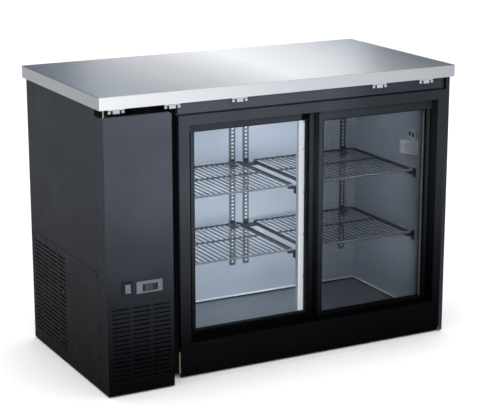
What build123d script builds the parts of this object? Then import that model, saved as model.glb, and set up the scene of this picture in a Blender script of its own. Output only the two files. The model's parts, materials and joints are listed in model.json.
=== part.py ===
from build123d import *
import math
import os

# Under counter fridge with two sliding glass doors and a side machine section.
# Frame: origin on the floor at the centre of the footprint, +X to the right as the user
# faces the doors, +Y to the back, +Z up. All sizes are in millimetres.

# ---------------------------------------------------------------- driving dimensions
# Worktop and body
top_width = 1240.0
top_depth = 640.0
height = 910.0
top_thickness = 38.0
side_overhang = 2.0
back_overhang = 35.0
glide_height = 4.0
sheet = 1.2

# How far each front stands from the next one
cover_proud = 22.0
control_proud = 4.0
surround_setback = 25.0

# Machine section at the left
cover_width = 217.0
cover_top = 850.0
cover_side_return = 65.0
service_top = 376.0
seam = 1.5

# Door surround
surround_left = -356.0
surround_right = 604.0
surround_bottom = 88.0
surround_top = 828.0
opening_left = -321.0
opening_right = 575.0
opening_bottom = 110.0
opening_top = 796.0
profile_wall = 3.0

# Sliding doors
door_depth = 31.0
door_gap = 4.0
door_setback = 36.0
door_bottom = 101.0
door_top = 812.0
glass_bottom = 117.0
glass_top = 761.0
inner_stile = 16.0
outer_stile = 22.0
left_door_x = (-294.0, 152.0)
right_door_x = (150.0, 580.0)
pane = 4.0
pane_recess = 6.0
unit_depth = 19.0
roller_radius = 7.0
roller_width = 8.0
track_rib_top = 99.0
running_gap = 0.3
bearing_gap = 0.08

# Cold cabinet
cabin_left = -316.0
cabin_right = 578.0
cabin_back = 224.0
cabin_floor = 52.0
cabin_ceiling = 808.0
shelf_levels = (324.0, 540.0)
shelf_size = (407.0, 380.0)
left_bay_x = -300.0
right_bay_x = 155.0
shelf_bar = 7.0
shelf_wire = 4.0
shelf_rail = (4.0, 12.0)
mullion_x = (117.0, 150.0)
mullion_depth = 10.0

# Ventilated openings
slot_height = 5.0
slot_width = 57.0
front_slot_pitch = 13.8
side_slot_pitch = 14.2

# ---------------------------------------------------------------- derived positions
depth = top_depth + cover_proud + control_proud
y_front = -depth / 2
y_cover = y_front + control_proud
y_top_front = y_cover + cover_proud
y_top_back = y_top_front + top_depth
y_back = y_top_back - back_overhang
y_surround = y_top_front + surround_setback
y_right_door = y_surround + door_setback
y_left_door = y_right_door + door_depth + door_gap
y_track_back = y_left_door + door_depth + door_gap
x_right = top_width / 2 - side_overhang
x_left = -x_right
x_cover = x_left + cover_width
x_partition = surround_left + sheet
y_return = y_cover + cover_side_return
mullion_y = y_track_back + 5.0
z_under = height - top_thickness
z_floor_plate = glide_height + 8.0
z_body_top = z_under - 0.5

os.makedirs("parts", exist_ok=True)
nodes = {}


def block(x, y, z):
    """A box from three (low, high) pairs."""
    size = [b - a for a, b in (x, y, z)]
    centre = [(a + b) / 2 for a, b in (x, y, z)]
    return Pos(*centre) * Box(*size)


def rod(start, end, radius):
    """A round bar between two points."""
    path = Vector(*end) - Vector(*start)
    return extrude(Plane(Vector(*start), z_dir=path) * Circle(radius), path.length)


def ring_bars(x, y, z, width):
    """Four separate bars that go round a rectangle in the XZ plane."""
    (x0, x1), (z0, z1) = x, z
    return [
        block((x0, x1), y, (z0, z0 + width)),
        block((x0, x1), y, (z1 - width, z1)),
        block((x0, x0 + width), y, (z0 + width, z1 - width)),
        block((x1 - width, x1), y, (z0 + width, z1 - width)),
    ]


def add(name, *solids):
    """Keeps a node, made of one solid or of several separate ones."""
    nodes[name] = solids[0] if len(solids) == 1 else Compound(children=list(solids))


def louvre_bank(start, top, columns, rows, pitch, gap):
    """Cutters for a bank of slots, and the blade behind each, for a sheet whose face is Y = 0."""
    drop = slot_height + 1.0
    outline = Polyline(
        (0.3, slot_height / 2),
        (0.3, slot_height / 2 + 1.2),
        (7.0, 1.2 - drop + slot_height / 2),
        (7.0, slot_height / 2 - drop),
        close=True,
    )
    blade = extrude(Plane.YZ * make_face(outline), slot_width / 2, both=True)
    cutters = []
    blades = []
    for column in range(columns):
        x = start + slot_width / 2 + column * (slot_width + gap)
        for row in range(rows):
            z = top - slot_height / 2 - row * pitch
            cutters.append(Pos(x, sheet / 2, z) * Box(slot_width, 4 * sheet, slot_height))
            blades.append(Pos(x, 0, z) * blade)
    return cutters, blades


# ---------------------------------------------------------------- worktop
def make_worktop():
    skin = 1.5
    lip = 12.0
    half = top_width / 2
    outer = block((-half, half), (y_top_front, y_top_back), (z_under, height))
    outer = fillet(outer.edges().filter_by(Axis.Z), 4.0)
    outer = fillet(outer.faces().sort_by(Axis.Z)[-1].edges(), 1.4)
    inside_y = (y_top_front + skin, y_top_back - skin)
    hollow = block((skin - half, half - skin), inside_y, (z_under + skin, height - skin))
    mouth_y = (y_top_front + lip, y_top_back - lip)
    mouth = block((lip - half, half - lip), mouth_y, (z_under - 1, z_under + skin))
    add("worktop", outer - [hollow, mouth])


def worktop_core():
    """The stiffening board that fills the folded worktop."""
    inset = 4.0
    x = (inset - top_width / 2, top_width / 2 - inset)
    y = (y_top_front + inset, y_top_back - inset)
    return block(x, y, (z_under + 1.5, height - 1.5))


def make_worktop_clips():
    """Folded brackets that hold the worktop down behind its front lip."""
    centres = (-565.0, -386.0, -162.0, 335.0, 511.0)
    width = 52.0
    drop = 15.0
    thickness = 2.0
    y_face = y_top_front + 2.0
    clips = []
    for x in centres:
        face_x = (x - width / 2, x + width / 2)
        face = block(face_x, (y_face, y_face + thickness), (z_under - drop, z_under))
        slots = []
        for side in (-1, 1):
            slot_x = (x + side * 15 - 1.5, x + side * 15 + 1.5)
            slots.append(block(slot_x, (y_face - 1, y_face + 3), (z_under - drop - 1, z_under - 4)))
        leg = block((x - 12, x + 12), (y_face + thickness, y_surround - 1), (z_under - thickness, z_under))
        clips.append(face - slots + leg)
    add("worktop_clips", *clips)


# ---------------------------------------------------------------- outer panels
def make_left_panels():
    y_panel = (y_return + seam, y_back)
    skin_x = (x_left, x_left + sheet)
    fold_x = (x_left + sheet, x_left + 14.0)
    upper_z = (service_top + seam / 2, z_body_top)
    upper = block(skin_x, y_panel, upper_z)
    fold_y = (y_panel[0], y_back - sheet - running_gap)
    upper += block(fold_x, fold_y, (upper_z[0], upper_z[0] + sheet))
    add("left_upper_panel", upper)

    service_z = (glide_height, service_top - seam / 2)
    service = block(skin_x, y_panel, service_z)
    side_slot = 62.0
    side_gap = 13.0
    widening = side_slot / slot_width
    cutters, blades = louvre_bank(0.0, 349.0, 4, 22, side_slot_pitch, side_gap / widening)
    place = Pos(x_left, y_back - 27.0, 0) * Rot(0, 0, -90)
    cutters = [place * stretch_x(c, widening) for c in cutters]
    blades = [place * stretch_x(b, widening) for b in blades]
    fold = block(fold_x, (y_panel[0], y_panel[0] + sheet), (z_floor_plate, service_z[1]))
    add("left_service_panel", service - cutters + blades + fold)


def stretch_x(shape, factor):
    """The shape made wider along X only, about X = 0."""
    return scale(shape, by=(factor, 1, 1))


def make_right_panel():
    post = 14.0
    z = (glide_height, z_body_top)
    side = block((x_right - sheet, x_right), (y_surround, y_back), z)
    front = block((x_right - post, x_right - sheet), (y_surround, y_surround + sheet), z)
    add("right_panel", side + front)


def make_back_panels():
    inner_y = (y_back - sheet, y_back)
    panel_z = (glide_height + 2.0, z_body_top)
    back = block((surround_left, x_right - sheet), inner_y, panel_z)
    partition_y = (y_surround + 18.5, inner_y[0])
    partition = block((surround_left, x_partition), partition_y, (z_floor_plate, z_body_top))
    notch_x = (surround_left - 1, x_partition + 1)
    partition -= block(notch_x, (y_surround, y_track_back), (surround_bottom, surround_top))
    add("back_panel", back, partition)

    grille_x = (x_left + sheet, surround_left - seam)
    grille = block(grille_x, inner_y, panel_z)
    rows = 24
    columns = 3
    gap = 12.0
    bank = columns * slot_width + (columns - 1) * gap
    start = -(grille_x[1] - grille_x[0] + bank) / 2
    cutters, blades = louvre_bank(start, 780.0, columns, rows, 2 * front_slot_pitch, gap)
    place = Pos(grille_x[0], y_back, 0) * Rot(0, 0, 180)
    cord_hole = cord_rod(-5.0, 5.0, 9.0)
    grille = grille - [place * c for c in cutters] - cord_hole + [place * b for b in blades]
    add("rear_grille", grille)
    gland = cord_rod(0.0, 9.0, 13.0) + cord_rod(-12.0, 0.0, 8.7) - cord_rod(-13.0, 10.0, 4.5)
    add("cord_gland", gland)


def cord_rod(start, end, radius):
    """A round bar where the mains cord leaves the back, from one distance behind it to another."""
    x, z = -560.0, 70.0
    return rod((x, y_back + start, z), (x, y_back + end, z), radius)


def make_base():
    plate_x = (x_left + sheet + 0.3, x_right - sheet - 0.3)
    plate_y = (y_surround + 18.0, y_back - sheet - 0.3)
    frame = block(plate_x, plate_y, (z_floor_plate - 2.0, z_floor_plate))
    for y in (plate_y[0] + 20.0, plate_y[1] - 60.0):
        frame += block(plate_x, (y, y + 40.0), (glide_height, z_floor_plate - 2.0))
    add("base_frame", frame)
    glides = []
    for x in (x_left + 60.0, 0.0, x_right - 60.0):
        for y in (plate_y[0] + 40.0, plate_y[1] - 40.0):
            glides.append(rod((x, y, 0), (x, y, glide_height), 18.0))
    add("floor_glides", *glides)


def make_front_trim():
    kick_z = (glide_height, surround_bottom - 1.5)
    kick_y = y_surround + 3.0
    kick_x = (surround_left, surround_right)
    kick = block(kick_x, (kick_y, kick_y + sheet), kick_z)
    kick += block(kick_x, (kick_y + sheet, kick_y + 15), (kick_z[1] - sheet, kick_z[1]))
    add("kick_plate", kick)

    post_y = y_surround + 14.0
    post_x = (x_cover - 0.5, surround_left - 0.5)
    post = block(post_x, (post_y, post_y + sheet), (z_floor_plate, z_body_top))
    add("centre_post", post)

    fascia_x = (surround_left - 3.0, 586.0)
    fascia_z = (834.0, z_body_top)
    fascia = block(fascia_x, (y_surround, y_surround + sheet), fascia_z)
    fold_y = (y_surround + sheet, post_y - running_gap)
    back_leg_y = (fold_y[1] - sheet, fold_y[1])
    fascia = fascia + [
        block(fascia_x, fold_y, (fascia_z[0], fascia_z[0] + sheet)),
        block(fascia_x, fold_y, (fascia_z[1] - sheet, fascia_z[1])),
        block((fascia_x[0], surround_right - 0.5), back_leg_y, (surround_top + running_gap, fascia_z[1])),
    ]
    add("fascia", fascia)


# ---------------------------------------------------------------- door surround
guide_faces = (y_right_door - 1.0, y_left_door - door_gap / 2, y_track_back)


def track_legs(z):
    """The thin guides each side of the two door paths."""
    x = (surround_left, surround_right)
    front, middle, back = guide_faces
    return [
        block(x, (front - 2.0, front), z),
        block(x, (middle - 1.0, middle + 1.0), z),
        block(x, (back - 2.0, back), z),
    ]


def make_tracks():
    x = (surround_left, surround_right)
    whole_y = (y_surround, y_track_back)
    web = block(x, whole_y, (surround_top - profile_wall, surround_top))
    face = block(x, (y_surround, y_surround + profile_wall), (opening_top, surround_top - profile_wall))
    top = web + [face] + track_legs((opening_top + 1.0, surround_top - profile_wall))
    add("top_track", soften(top, y_surround, (opening_top, surround_top)))

    web = block(x, whole_y, (surround_bottom, surround_bottom + profile_wall))
    web_top = surround_bottom + profile_wall
    face = block(x, (y_surround, y_surround + profile_wall), (web_top, opening_bottom))
    ribs = []
    for y in (y_right_door, y_left_door):
        middle = y + door_depth / 2
        ribs.append(block(x, (middle - 1.5, middle + 1.5), (web_top, track_rib_top)))
    bottom = web + [face] + ribs + track_legs((web_top, track_rib_top))
    add("bottom_track", soften(bottom, y_surround, (surround_bottom, opening_bottom)))


def soften(shape, y, heights):
    """Rounds the two long front edges of a track."""
    edges = [
        e
        for e in shape.edges().filter_by(Axis.X)
        if abs(e.center().Y - y) < 0.01 and min(abs(e.center().Z - z) for z in heights) < 0.01
    ]
    return fillet(edges, 1.2)


def tube(x, y, z, wall):
    """A rectangular hollow profile that stands along Z."""
    inner_x = (x[0] + wall, x[1] - wall)
    inner_y = (y[0] + wall, y[1] - wall)
    return block(x, y, z) - block(inner_x, inner_y, (z[0] - 1, z[1] + 1))


def make_jambs():
    z = (opening_bottom, opening_top)
    split = y_left_door - door_gap / 2
    left = tube((surround_left, opening_left), (y_surround, split), z, profile_wall)
    left += tube((surround_left, -299.0), (split, y_track_back), z, profile_wall)
    add("left_jamb", left)

    pocket = 8.0
    pocket_y = (y_right_door - 1.5, y_right_door + door_depth + 1.0)
    whole = block((opening_right, surround_right), (y_surround, y_track_back), z)
    bite = block((opening_right - 1, opening_right + pocket), pocket_y, (z[0] - 1, z[1] + 1))
    core_x = (opening_right + pocket + profile_wall, surround_right - profile_wall)
    core = block(core_x, (y_surround + profile_wall, y_track_back - profile_wall), (z[0] - 1, z[1] + 1))
    add("right_jamb", whole - [bite, core])

    left_stop = block((-299.0, -296.0), (split + 4.0, y_track_back - 4.0), z)
    right_stop_x = (opening_right + pocket - 2.0, opening_right + pocket)
    right_stop = block(right_stop_x, (pocket_y[0] + 4.0, pocket_y[1] - 4.0), z)
    add("door_bumpers", left_stop, right_stop)


# ---------------------------------------------------------------- machine cover and controls
controller_x = (-523.5, -438.5)
controller_z = (315.0, 352.0)
controller_cutout = (-517.0, -445.0)
window_x = (-505.0, -454.0)
window_z = (320.5, 342.5)
button_size = 5.6
button_spots = {"button_up": (-511.3, 338.0), "button_down": (-511.3, 328.0), "button_set": (-449.2, 333.0)}
switch_x = (-571.0, -537.0)
switch_z = (314.0, 357.0)
rocker_x = (-560.0, -541.0)
rocker_z = (318.5, 349.5)


def make_front_cover():
    x = (x_left, x_cover)
    z = (glide_height, cover_top)
    back_y = y_surround + 12.0
    face = block(x, (y_cover, y_cover + sheet), z)
    cutters, blades = louvre_bank(-602.5, 275.0, 3, 17, front_slot_pitch, 9.3)
    face = face - [Pos(0, y_cover, 0) * c for c in cutters]
    face = face - block(controller_cutout, (y_cover - 1, y_cover + 3), (318.5, 348.5))
    face = face - block((-568.0, -540.0), (y_cover - 1, y_cover + 3), (317.0, 354.0))
    face = face + [Pos(0, y_cover, 0) * b for b in blades]
    inner = y_cover + sheet
    folds = [
        block((x[0], x[0] + sheet), (inner, y_return), z),
        block((x[1] - sheet, x[1]), (inner, back_y), z),
        block((x[0] + sheet, x[1] - sheet), (inner, inner + 25.0), (z[1] - sheet, z[1])),
        block((x[0] + sheet, x[1] - sheet), (inner, inner + 25.0), (z[0], z[0] + sheet)),
    ]
    add("front_cover", face + folds)


def make_controller():
    y_face = y_front + 0.6
    bezel = block(controller_x, (y_face, y_cover), controller_z)
    bezel = fillet(bezel.edges().filter_by(Axis.Y), 3.0)
    bezel = fillet(bezel.faces().sort_by(Axis.Y)[0].edges(), 1.0)
    bezel -= block(window_x, (y_face - 1, y_cover + 1), window_z)
    for x, z in button_spots.values():
        half = button_size / 2 + running_gap
        bezel -= block((x - half, x + half), (y_face - 1, y_cover + 1), (z - half, z + half))
    add("controller_bezel", bezel)
    add("controller_window", block(window_x, (y_face + 1.0, y_cover), window_z))
    body_front = y_cover + 2.5
    add("controller_body", block((-516.0, -446.0), (body_front, body_front + 58.0), (319.5, 347.5)))
    for name, (x, z) in button_spots.items():
        half = button_size / 2
        cap = block((x - half, x + half), (y_front, y_cover + 0.5), (z - half, z + half))
        add(name, fillet(cap.faces().sort_by(Axis.Y)[0].edges(), 0.5))


def make_switch():
    rim = block(switch_x, (y_cover - 3.0, y_cover), switch_z)
    rim = fillet(rim.edges().filter_by(Axis.Y), 2.0)
    rim = fillet(rim.faces().sort_by(Axis.Y)[0].edges(), 1.0)
    well = block((-567.5, -540.5), (y_cover, y_cover + 22.0), (317.5, 353.5))
    housing = rim + well
    housing -= block(rocker_x, (y_cover - 4.0, y_cover + 20.0), rocker_z)
    pivot = (y_cover + 5.0, (rocker_z[0] + rocker_z[1]) / 2)
    clearance = 0.5
    width = rocker_x[1] - rocker_x[0] - 2 * clearance
    half = (rocker_z[1] - rocker_z[0]) / 2 - 2.1
    front = [(-5.0, half), (-6.0, 0.0), (-8.6, -half)]
    back = [(-1.0, -half), (4.0, -4.0), (4.0, 4.0), (-1.0, half)]
    outline = Polyline(*front, *back, close=True)
    centre_x = (rocker_x[0] + rocker_x[1]) / 2
    rocker = extrude(Plane.YZ * make_face(outline), width / 2, both=True)
    rocker = Pos(centre_x, *pivot) * rocker
    pin_reach = width / 2 + 2.0
    pin_ends = [(centre_x + s * pin_reach, *pivot) for s in (-1, 1)]
    rocker += rod(pin_ends[0], pin_ends[1], 1.5)
    hole_ends = [(centre_x + s * (pin_reach + 0.3), *pivot) for s in (-1, 1)]
    housing -= rod(hole_ends[0], hole_ends[1], 1.5 + bearing_gap)
    add("switch_housing", housing)
    add("switch_rocker", rocker)


# ---------------------------------------------------------------- cold cabinet
def make_cabinet():
    x = (cabin_left, cabin_right)
    y = (y_track_back, cabin_back)
    z = (cabin_floor, cabin_ceiling)
    liner = [
        block((x[0] - sheet, x[0]), y, z),
        block((x[1], x[1] + sheet), y, z),
        block((x[0] - sheet, x[1] + sheet), (y[1], y[1] + sheet), (z[0] - sheet, z[1] + sheet)),
        block((x[0] - sheet, x[1] + sheet), y, (z[0] - sheet, z[0])),
        block((x[0] - sheet, x[1] + sheet), y, (z[1], z[1] + sheet)),
        block((x[0] - sheet, x[1] + sheet), (y[0] - sheet, y[0]), (z[0] - sheet, surround_bottom)),
    ]
    add("inner_liner", *liner)

    outer_x = (x_partition, x_right - sheet)
    outer_z = (z_floor_plate, z_body_top)
    back = (cabin_back + sheet, y_back - sheet)
    mid_x = (x[0] - sheet, x[1] + sheet)
    front_x = (outer_x[0], surround_right)
    sill_y = (y_surround + 20.0, y[0] - sheet)
    header_y = (y_surround + 17.0, y[0])
    foam = [
        block(outer_x, back, outer_z),
        block((outer_x[0], mid_x[0]), (y[0], back[0]), outer_z),
        block((mid_x[1], outer_x[1]), (y[0], back[0]), outer_z),
        block(mid_x, (y[0], back[0]), (outer_z[0], z[0] - sheet)),
        block(mid_x, (y[0], back[0]), (z[1] + sheet, outer_z[1])),
        block(front_x, sill_y, (outer_z[0], surround_bottom)),
        block(front_x, header_y, (surround_top, outer_z[1])),
        worktop_core(),
    ]
    add("insulation", *foam)


def make_mullion():
    y = (mullion_y, mullion_y + mullion_depth)
    z = (cabin_floor, cabin_ceiling)
    add("mullion", tube(mullion_x, y, z, 2.0))
    strip_x = (mullion_x[0] + 2.0, mullion_x[1] - 3.0)
    strip = block(strip_x, (y[0] - 3.0, y[0]), (z[0] + 25.0, z[1] - 25.0))
    strip = fillet(strip.faces().sort_by(Axis.Y)[0].edges().filter_by(Axis.Z), 1.0)
    add("light_strip", strip)


pilaster_width = 20.0
pilaster_depth = 5.0
pilaster_z = (172.0, 782.0)
rear_pilasters = (-278.0, 84.0, 136.0, 524.0)


def slotted_strip():
    """A pilaster lying in the XZ plane, with its face at Y = 0 and its back at +Y."""
    pitch = 12.7
    length = pilaster_z[1] - pilaster_z[0]
    count = int(length / pitch) - 1
    face = Rectangle(pilaster_width, length)
    face -= GridLocations(0, pitch, 1, count) * Rectangle(8.0, 5.5)
    flat = extrude(Plane.XZ * face, -sheet)
    walls = []
    for edge in (-pilaster_width / 2, pilaster_width / 2):
        walls.append(block((edge - 0.6, edge + 0.6), (0, pilaster_depth), (-length / 2, length / 2)))
    strip = flat + walls
    return Pos(0, 0, (pilaster_z[0] + pilaster_z[1]) / 2) * strip


def make_pilasters():
    strip = slotted_strip()
    strips = [Pos(x, cabin_back - pilaster_depth, 0) * strip for x in rear_pilasters]
    middle = (mullion_x[0] + mullion_x[1]) / 2
    back_face = mullion_y + mullion_depth
    strips.append(Pos(middle, back_face + pilaster_depth, 0) * Rot(0, 0, 180) * strip)
    add("shelf_pilasters", *strips)

    clips = []
    drop = 6.0
    wall_face = cabin_back - pilaster_depth
    left_bay_end = left_bay_x + shelf_size[0]
    right_bay_end = right_bay_x + shelf_size[0]
    shelf_ends = (left_bay_x, left_bay_end, right_bay_x, right_bay_end)
    for level in shelf_levels:
        top = level + shelf_bar / 2 - shelf_rail[1] - running_gap
        z = (top - drop, top)
        for x in rear_pilasters:
            near = min(shelf_ends, key=lambda end: abs(end - x))
            reach = 12.0 if x != rear_pilasters[2] else near - x + 14.0
            clip = block((x - 8.0, x + reach), (wall_face - 24.0, wall_face), z)
            clip += block((x - 8.0, x + 8.0), (wall_face - 3.0, wall_face), (z[0] - 10.0, z[1] + 16.0))
            clips.append(clip)
        side_y = (y_track_back + 14.0, y_track_back + 30.0)
        tab_z = (z[0] - 16.0, z[1] + 10.0)
        for wall, reach in ((cabin_left, left_bay_x + 12.0), (cabin_right, right_bay_end - 12.0)):
            tab = wall + math.copysign(3.0, reach - wall)
            arm = block((min(wall, reach), max(wall, reach)), side_y, z)
            clips.append(arm + block((min(wall, tab), max(wall, tab)), side_y, tab_z))
        centre_y = (back_face + pilaster_depth, back_face + pilaster_depth + 14.0)
        centre = block((left_bay_end - 12.0, right_bay_x + 12.0), centre_y, z)
        centre += block((mullion_x[0], mullion_x[1]), centre_y, (z[0] - 18.0, z[0]))
        clips.append(centre)
    add("shelf_clips", *clips)


def make_shelves():
    """Coated wire shelves: a round frame, a middle bar and front-to-back wires."""
    width, length = shelf_size
    r = shelf_bar / 2
    corners = [(r, r, 0), (width - r, r, 0), (width - r, length - r, 0), (r, length - r, 0)]
    path = FilletPolyline(*corners, radius=9.0, close=True)
    frame = sweep(Plane(path @ 0, z_dir=path % 0) * Circle(r), path=path)
    middle = rod((r, length * 0.55, -0.5), (width - r, length * 0.55, -0.5), r - 0.5)
    pitch = 20.0
    count = int((width - 2 * r) / pitch) - 1
    first = (width - (count - 1) * pitch) / 2
    z = shelf_wire / 2 + 0.5
    wires = []
    for i in range(count):
        x = first + i * pitch
        wires.append(rod((x, r, z), (x, length - r, z), shelf_wire / 2))
    rail_width, rail_height = shelf_rail
    rail_z = (r - rail_height, r)
    rail_y = (12.0, length - 12.0)
    rails = [block((x, x + rail_width), rail_y, rail_z) for x in (0.0, width - rail_width)]
    shelf = frame + rails + [middle] + wires
    y_shelf = y_track_back + 8.0
    for name, x in (("left", left_bay_x), ("right", right_bay_x)):
        for height_name, level in zip(("lower", "upper"), shelf_levels):
            add(f"{name}_{height_name}_shelf", Pos(x, y_shelf, level) * shelf)


def make_thermometer():
    case = block((cabin_right - 10.0, cabin_right), (-168.0, -120.0), (640.0, 672.0))
    case = fillet(case.edges().filter_by(Axis.X), 4.0)
    add("thermometer", case)


# ---------------------------------------------------------------- evaporator
evaporator_x = (cabin_left, cabin_left + 78.0)
evaporator_y = (-60.0, 212.0)
evaporator_z = (594.0, cabin_ceiling)
evaporator_fan_at = (0.0, 702.0)
shaft_radius = 3.0


def fan(radius, hub_radius, hub_length, blade_count, pitch_deg):
    """An axial fan on the Z axis, centred on the origin, with a blind shaft hole from below."""
    hub = Cylinder(hub_radius, hub_length)
    reach = radius - hub_radius + 2.0
    blade = Pos(hub_radius + reach / 2 - 2.0, 0, 0) * Rot(pitch_deg, 0, 0) * Box(reach, radius * 0.55, 1.6)
    blades = [Rot(0, 0, i * 360 / blade_count) * blade for i in range(blade_count)]
    rotor = (hub + blades) & Cylinder(radius, hub_length)
    return rotor - Pos(0, 0, -hub_length / 2) * Cylinder(shaft_radius + bearing_gap, hub_length)


def make_evaporator():
    x, y, z = evaporator_x, evaporator_y, evaporator_z
    fan_y, fan_z = evaporator_fan_at
    hole = 54.0
    inner_y = (y[0] + sheet, y[1] - sheet)
    cover = block(x, y, z) - block((x[0] - 1, x[1] - sheet), inner_y, (z[0] + sheet, z[1] + 1))
    cover -= rod((x[1] - 5, fan_y, fan_z), (x[1] + 5, fan_y, fan_z), hole)
    spokes = [Rot(a, 0, 0) * Box(sheet, 2 * hole + 4.0, 3.0) for a in (0, 45, 90, 135)]
    cover = cover + [Pos(x[1] - sheet / 2, fan_y, fan_z) * s for s in spokes]
    outlet_x = (x[0] + 15, x[1] - 15)
    outlet = [block(outlet_x, (60.0 + i * 14.0, 66.0 + i * 14.0), (z[0] - 1, z[0] + 3)) for i in range(10)]
    add("evaporator_cover", cover - outlet)

    coil_x = (x[0] + 8.0, x[1] - 12.0)
    coil_y = (80.0, 200.0)
    coil_z = (z[0] + 16.0, z[1] - 18.0)
    add("evaporator_coil", finned_coil(coil_x, coil_y, coil_z, 12, "z"))
    rotor = Pos(x[1] - 14.0, fan_y, fan_z) * Rot(0, 90, 0) * fan(49.0, 17.0, 16.0, 5, 28)
    add("evaporator_fan", rotor)


def finned_coil(x, y, z, count, stack):
    """Fins stacked along X or Z on a few tubes, held by two end plates."""
    fin = 1.2
    tube_radius = 5.0
    middle_x = (x[0] + x[1]) / 2
    middle_y = (y[0] + y[1]) / 2
    span = x if stack == "x" else z
    step = (span[1] - span[0] - fin) / count
    parts = []
    for i in range(count + 1):
        low = span[0] + i * step
        slab = (low, low + fin)
        parts.append(block(slab, y, z) if stack == "x" else block(x, y, slab))
    if stack == "x":
        rows = [z[0] + (z[1] - z[0]) * f for f in (0.12, 0.31, 0.5, 0.69, 0.88)]
        tubes = [rod((x[0], middle_y, h), (x[1], middle_y, h), tube_radius) for h in rows]
    else:
        rows = [y[0] + (y[1] - y[0]) * f for f in (0.15, 0.5, 0.85)]
        tubes = [rod((middle_x, h, z[0]), (middle_x, h, z[1]), tube_radius) for h in rows]
    return parts[0] + parts[1:] + tubes


# ---------------------------------------------------------------- condensing unit
condenser_x = (-600.0, -410.0)
condenser_z = (30.0, 290.0)
fan_at = (-505.0, 160.0)
fan_hole = 59.0


def make_condensing_unit():
    coil_y = (y_cover + 18.0, y_cover + 62.0)
    add("condenser_coil", finned_coil(condenser_x, coil_y, condenser_z, 24, "x"))

    plate_y = (coil_y[1] + 6.0, coil_y[1] + 8.0)
    x, z = fan_at
    shroud = block(condenser_x, plate_y, condenser_z)
    collar = rod((x, plate_y[0], z), (x, plate_y[1] + 16.0, z), fan_hole + 2.0)
    shroud = shroud + collar - rod((x, plate_y[0] - 1, z), (x, plate_y[1] + 17.0, z), fan_hole)
    shroud += block(condenser_x, (plate_y[1], plate_y[1] + 20.0), (condenser_z[0], condenser_z[0] + 2.0))
    add("condenser_fan_shroud", shroud)

    blade_y = plate_y[1] + 11.0
    add("condenser_fan", Pos(x, blade_y, z) * Rot(90, 0, 0) * fan(56.0, 18.0, 18.0, 5, 30))
    motor_front = blade_y + 10.0
    motor = rod((x, motor_front, z), (x, motor_front + 48.0, z), 28.0)
    motor += rod((x, motor_front - 9.0, z), (x, motor_front, z), shaft_radius)
    stand = block((x - 20, x + 20), (motor_front + 10, motor_front + 40), (z_floor_plate, z - 24.0))
    motor_x = (cabin_left + 10.0, evaporator_x[1] - 23.0)
    fan_y, fan_z = evaporator_fan_at
    cold_motor = rod((motor_x[0], fan_y, fan_z), (motor_x[1], fan_y, fan_z), 20.0)
    cold_motor += block((cabin_left, motor_x[0] + 4), (fan_y - 30, fan_y + 30), (fan_z - 8, fan_z + 8))
    cold_motor += rod((motor_x[1], fan_y, fan_z), (motor_x[1] + 8.5, fan_y, fan_z), shaft_radius)
    add("fan_motors", motor + stand, cold_motor)

    make_compressor()


def make_compressor():
    x, y = (-485.0, 60.0)
    radius = 80.0
    shell_z = (z_floor_plate + 22.0, z_floor_plate + 190.0)
    shell = fillet(rod((x, y, shell_z[0]), (x, y, shell_z[1]), radius).edges(), 34.0)
    rim_z = (shell_z[0] + 84.0, shell_z[0] + 90.0)
    shell += rod((x, y, rim_z[0]), (x, y, rim_z[1]), radius + 5.0)
    plate_z = (z_floor_plate + 14.0, z_floor_plate + 18.0)
    foot = block((x - 100, x + 100), (y - 70, y + 70), plate_z)
    neck = rod((x, y, plate_z[0]), (x, y, shell_z[0] + 20.0), 40.0)
    terminal_x = (x + 77.0, x + 106.0)
    terminal = block(terminal_x, (y - 28, y + 28), (shell_z[0] + 100.0, shell_z[0] + 150.0))
    arm = block((x + 60.0, terminal_x[0]), (y - 12, y + 12), (shell_z[0] + 108, shell_z[0] + 120))
    feet = []
    for foot_x in (x - 84.0, x + 84.0):
        for foot_y in (y - 56.0, y + 56.0):
            feet.append(rod((foot_x, foot_y, z_floor_plate), (foot_x, foot_y, plate_z[0]), 12.0))
    add("compressor", shell + [foot, neck, terminal, arm])
    add("compressor_mounts", *feet)

    radius = 4.0
    bend = 22.0
    front_y = y_cover + 40.0
    discharge = [(-560.0, y, 220.0), (-560.0, y, 330.0), (-560.0, front_y, 330.0), (-560.0, front_y, 291.0)]
    suction = [(-430.0, y, 215.0), (-430.0, y, 640.0), (surround_left - 0.5, y, 640.0)]
    pipes = []
    for points in (discharge, suction):
        path = FilletPolyline(*points, radius=bend)
        section = Plane(path @ 0, z_dir=path % 0) * Circle(radius)
        pipes.append(sweep(section, path=path))
    add("refrigerant_pipes", *pipes)


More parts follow.
